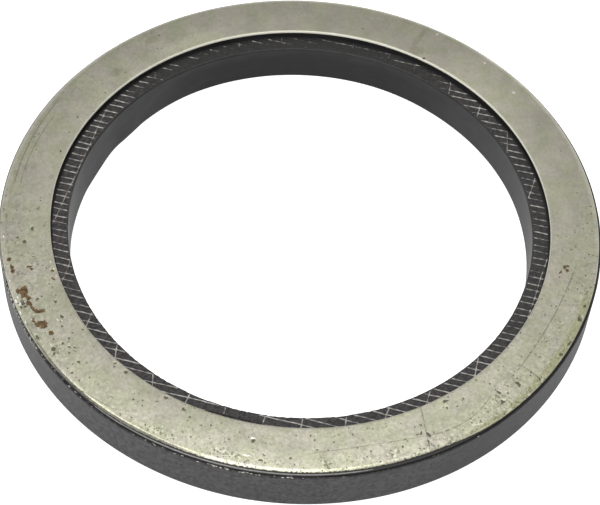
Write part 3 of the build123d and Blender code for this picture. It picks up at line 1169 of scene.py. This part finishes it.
# %% Shine and relief of the steel face
dull = larger(tree, rust_mask, times(tree, pit_mask, 0.7))
dull = larger(tree, dull, times(tree, crust_mask, 0.4))
dull = larger(tree, dull, corner_shade)
matt = times(tree, painted(tree, "matt"), 0.8)
less_metal = larger(tree, larger(tree, dull, cut_edge), matt)
tree.links.new(linear(tree, less_metal, -0.85, 0.85), shader.inputs["Metallic"])
roughness = linear(tree, painted(tree, "polished"), -0.24, 0.42)
tree.links.new(linear(tree, dull, 0.4, roughness), shader.inputs["Roughness"])
relief = linear(tree, dull, -0.6, times(tree, grain, 0.25))
tree.links.new(bump(tree, relief, 0.35, 0.06), shader.inputs["Normal"])
print("pale_steel has", len(tree.nodes), "nodes")

# %% [markdown]
# ## Dark outer case
#
# The outer case is dark, almost black steel, drawn through a die, so fine streaks run
# round its wall. Knocks took its dark skin off in flecks, and show the bright metal.

# %% Dark case material
case_dark = (0.0155, 0.015, 0.0165, 1)
case_pale = (0.059, 0.0565, 0.0575, 1)
case_shade = (0.013, 0.0125, 0.013, 1)
dark_beaten_and_sheen = (0.03, 0.03, 0.03, 1)
pale_beaten_and_sheen = (0.30, 0.29, 0.28, 1)
bare_metal = (0.33, 0.33, 0.25, 1)
fleck_metal = (0.5, 0.48, 0.43, 1)
rim_groove_shade = (0.012, 0.011, 0.01, 1)

tree, shader = new_material("dark_steel", outer_case)
where = use(tree, ring_place)
fine = use(tree, streaks, Length=12.0, Width=0.15, Seed=9.0)["Streak"]
patch = use(tree, patches, Size=1.2, Detail=4.0, Seed=10.0)["Patch"]
tone = linear(tree, fine, 0.35, times(tree, patch, 0.65))
dark = blend_colours(tree, rise(tree, tone, 0.34, 0.66), case_dark, case_pale)
dark = coat(tree, dark, painted(tree, "shaded"), case_shade, 0.6)
# On the left the rim is beaten metal, partly a painted sheen where the wall is seen at a grazing
# angle.
beaten = use(tree, patches, Size=0.5, Detail=3.0, Seed=16.0)["Patch"]
beaten_and_sheen_colour = blend_colours(tree, rise(tree, beaten, 0.45, 0.62), dark_beaten_and_sheen, pale_beaten_and_sheen)
dark = coat(tree, dark, painted(tree, "battered"), beaten_and_sheen_colour, 0.8)
bare = painted(tree, "bare")
dark = coat(tree, dark, bare, bare_metal)
fleck_mask = ragged_mark(tree, "flecks", Grain=0.3, Amount=0.8)
dark = coat(tree, dark, fleck_mask, fleck_metal)

# Painted shade fills the groove at the inner edge of the rim, up to a jagged line,
# except where it is bare.
above = rise(tree, where["Height"], rim_height - 0.8, rim_height - 0.5)
above = times(tree, above, calc(tree, "SUBTRACT", 1.0, bare))
jagged = linear(tree, beaten, 0.5, face_radius - 0.3)
jagged = linear(tree, painted(tree, "sooty"), 0.35, jagged)
groove_shade = times(tree, above, rise(tree, where["Radius"], plus(tree, jagged, 0.1), jagged))
dark = coat(tree, dark, groove_shade, rim_groove_shade)
tree.links.new(dark, shader.inputs["Base Color"])
shader.inputs["Specular IOR Level"].default_value = 0.25
tree.links.new(linear(tree, fine, 0.15, 0.5), shader.inputs["Roughness"])
tree.links.new(bump(tree, fine, 0.25, 0.03), shader.inputs["Normal"])
print("dark_steel has", len(tree.nodes), "nodes")

# %% [markdown]
# ## Rubber and cord
#
# The packing is dull black rubber. It is darkest where one looks straight at it and
# turns grey where one looks along it, which the Principled BSDF's own reflection does.
# Painted shade darkens the far side of its bore further.
# The ply's skin is rougher and still darker, and the cords are undyed thread. Both get
# painted shade on the far side, on the right and under the flange's edge.

# %% Rubber material
tree, shader = new_material("packing_rubber", packing_ring)
lines = use(tree, streaks, Length=15.0, Width=0.5, Seed=11.0)["Streak"]
bloom = use(tree, patches, Size=6.0, Detail=4.0, Seed=12.0)["Patch"]
tone = linear(tree, lines, 0.5, times(tree, bloom, 0.5))
rubber = blend_colours(tree, rise(tree, tone, 0.35, 0.65), grey(0.009), grey(0.019))
# Painted shade on the far side of the bore.
sooty = painted(tree, "sooty")
rubber = coat(tree, rubber, sooty, grey(0.004), 0.5)
tree.links.new(rubber, shader.inputs["Base Color"])
tree.links.new(linear(tree, sooty, 0.15, 0.5), shader.inputs["Roughness"])
shader.inputs["Specular IOR Level"].default_value = 0.25
tree.links.new(bump(tree, tone, 0.3, 0.05), shader.inputs["Normal"])
print("packing_rubber has", len(tree.nodes), "nodes")

# %% Ply skin material
ply_dark = (0.016, 0.014, 0.014, 1)
ply_pale = (0.062, 0.057, 0.055, 1)

tree, shader = new_material("ply_rubber", ply_skin)
coarse = use(tree, patches, Size=0.7, Detail=4.0, Seed=13.0)["Patch"]
skin = blend_colours(tree, rise(tree, coarse, 0.35, 0.65), ply_dark, ply_pale)
# Painted shade on the far side and on the right.
grimy = painted(tree, "grimy")
skin = coat(tree, skin, grimy, grey(0.02), 0.8)
# Painted shadow under the flange's edge: a dark band along the step.
flange_shadow = rise(tree, use(tree, ring_place)["Radius"], step_radius - 1.1, step_radius - 0.8)
flange_shadow = times(tree, flange_shadow, linear(tree, grimy, -0.8, 1.0))
skin = coat(tree, skin, flange_shadow, grey(0.004))
tree.links.new(skin, shader.inputs["Base Color"])
shader.inputs["Roughness"].default_value = 0.6
tree.links.new(bump(tree, coarse, 0.5, 0.1), shader.inputs["Normal"])
print("ply_rubber has", len(tree.nodes), "nodes")

# %% Cord material
thread_dark = (0.03, 0.028, 0.026, 1)
thread_pale = (0.62, 0.60, 0.56, 1)

tree, shader = new_material("pale_cord", close_cords)
cross_cords.data.materials.append(close_cords.data.materials[0])
fibres = use(tree, patches, Size=0.3, Detail=2.0, Seed=14.0)["Patch"]
cover = plus(tree, painted(tree, "pale"), calc(tree, "SUBTRACT", fibres, 0.5))
# Dark threads stand partly for painted shade, partly for cords buried in the rubber.
thread = blend_colours(tree, rise(tree, cover, -0.3, 1.0), thread_dark, thread_pale)
tree.links.new(thread, shader.inputs["Base Color"])
shader.inputs["Roughness"].default_value = 0.8
print("pale_cord has", len(tree.nodes), "nodes")

# %% [markdown]
# ## Floor, light and camera
#
# The ring lies on a plain pale floor, a wide disc that turns up at its rim, so that low
# views see no horizon. It lies a hair under the ring. For the camera, and in reflections,
# the floor also glows a little, so that it comes out white and still keeps the ring's
# soft shadow. One softbox overhead lights the face. A second, high in front, draws the
# bright line along the near corner, and a third, low in front, lights the dark wall.

# %% Floor
flat_radius = 3.0
rim_radius = 5.0
rim_rise = 1.2
gap_under_ring = 0.05 * MM

floor_angle = np.linspace(0, 2 * np.pi, 96, endpoint=False)
floor_radius = np.linspace(flat_radius, rim_radius, 9)[:, None]
way_out = (floor_radius - flat_radius) / (rim_radius - flat_radius)
floor_rise = rim_rise * way_out**2 - gap_under_ring
floor_x, floor_y = floor_radius * np.cos(floor_angle), floor_radius * np.sin(floor_angle)
floor_grid = np.stack(np.broadcast_arrays(floor_x, floor_y, floor_rise), axis=-1)
index = np.arange(floor_x.size).reshape(floor_x.shape)
floor_faces = [index[0].tolist()] + band_quads(index[:-1], index[1:]).tolist()
floor_mesh = bpy.data.meshes.new("floor")
floor_mesh.from_pydata(floor_grid.reshape(-1, 3).tolist(), [], floor_faces)
print("the floor rises to", round(float(floor_rise.max()), 2), "m at its rim")
floor = bpy.data.objects.new("floor", floor_mesh)
bpy.context.scene.collection.objects.link(floor)

# %% Floor material
glow = 0.75

tree, shader = new_material("pale_floor", floor)
paper = use(tree, patches, Size=2.0, Detail=3.0, Seed=15.0)["Patch"]
tree.links.new(blend_colours(tree, paper, grey(0.86), grey(0.88)), shader.inputs["Base Color"])
shader.inputs["Roughness"].default_value = 0.9
shader.inputs["Specular IOR Level"].default_value = 0.0
rays = add(tree, "LightPath").outputs
seen = larger(tree, rays["Is Glossy Ray"], rays["Is Transmission Ray"])
seen = larger(tree, rays["Is Camera Ray"], seen)
shader.inputs["Emission Color"].default_value = grey(1)
tree.links.new(times(tree, seen, glow), shader.inputs["Emission Strength"])
print("the floor glows with a strength of", glow)

# %% World
world_strength = 0.36
world = bpy.data.worlds.new("studio")
bpy.context.scene.world = world
world.use_nodes = True
tree = world.node_tree
tree.nodes["Background"].inputs["Color"].default_value = grey(1)
tree.nodes["Background"].inputs["Strength"].default_value = world_strength
print("the world lights every side with a strength of", world_strength)

# %% Lamps


def softbox(name, direction, height, distance, width, depth, power):
    """A rectangular lamp, placed by direction and height in degrees, facing the ring."""
    across, up = math.radians(direction), math.radians(height)
    ray = Vector((math.cos(across) * math.cos(up), math.sin(across) * math.cos(up), math.sin(up)))
    lamp = bpy.data.lights.new(name, "AREA")
    lamp.shape = "RECTANGLE"
    lamp.size = width
    lamp.size_y = depth
    lamp.energy = power
    holder = bpy.data.objects.new(name, lamp)
    holder.location = ray * distance
    holder.rotation_euler = ray.to_track_quat("Z", "Y").to_euler()
    bpy.context.scene.collection.objects.link(holder)
    print(name, "gives", power, "W from", distance, "m")


softbox("overhead", direction=90, height=80, distance=1.2, width=0.7, depth=0.7, power=3.9)
softbox("front_high", direction=262, height=65, distance=1.2, width=0.6, depth=1.12, power=5.1)
softbox("front_low", direction=250, height=12, distance=1.2, width=0.9, depth=0.25, power=6.6)

# %% Camera
elevation = math.radians(53.17)
roll = math.radians(3.84)
aim = Vector((0.3, -2.8, 0)) * MM
distance = 563.2 * MM

level_right = Vector((1, 0, 0))
level_up = Vector((0, math.sin(elevation), math.cos(elevation)))
backward = Vector((0, -math.cos(elevation), math.sin(elevation)))
right = level_right * math.cos(roll) + level_up * math.sin(roll)
up = level_up * math.cos(roll) - level_right * math.sin(roll)

camera = bpy.data.objects.new("camera", bpy.data.cameras.new("camera"))
camera.data.lens = 110.8
camera.data.sensor_width = 36
camera.data.clip_start = 0.01
camera.matrix_world = Matrix((right, up, backward)).transposed().to_4x4()
camera.location = aim + backward * distance
bpy.context.scene.collection.objects.link(camera)
bpy.context.scene.camera = camera

view = bpy.context.scene.view_settings
view.view_transform = "Standard"
print("the camera stands at", [round(part, 3) for part in camera.location])
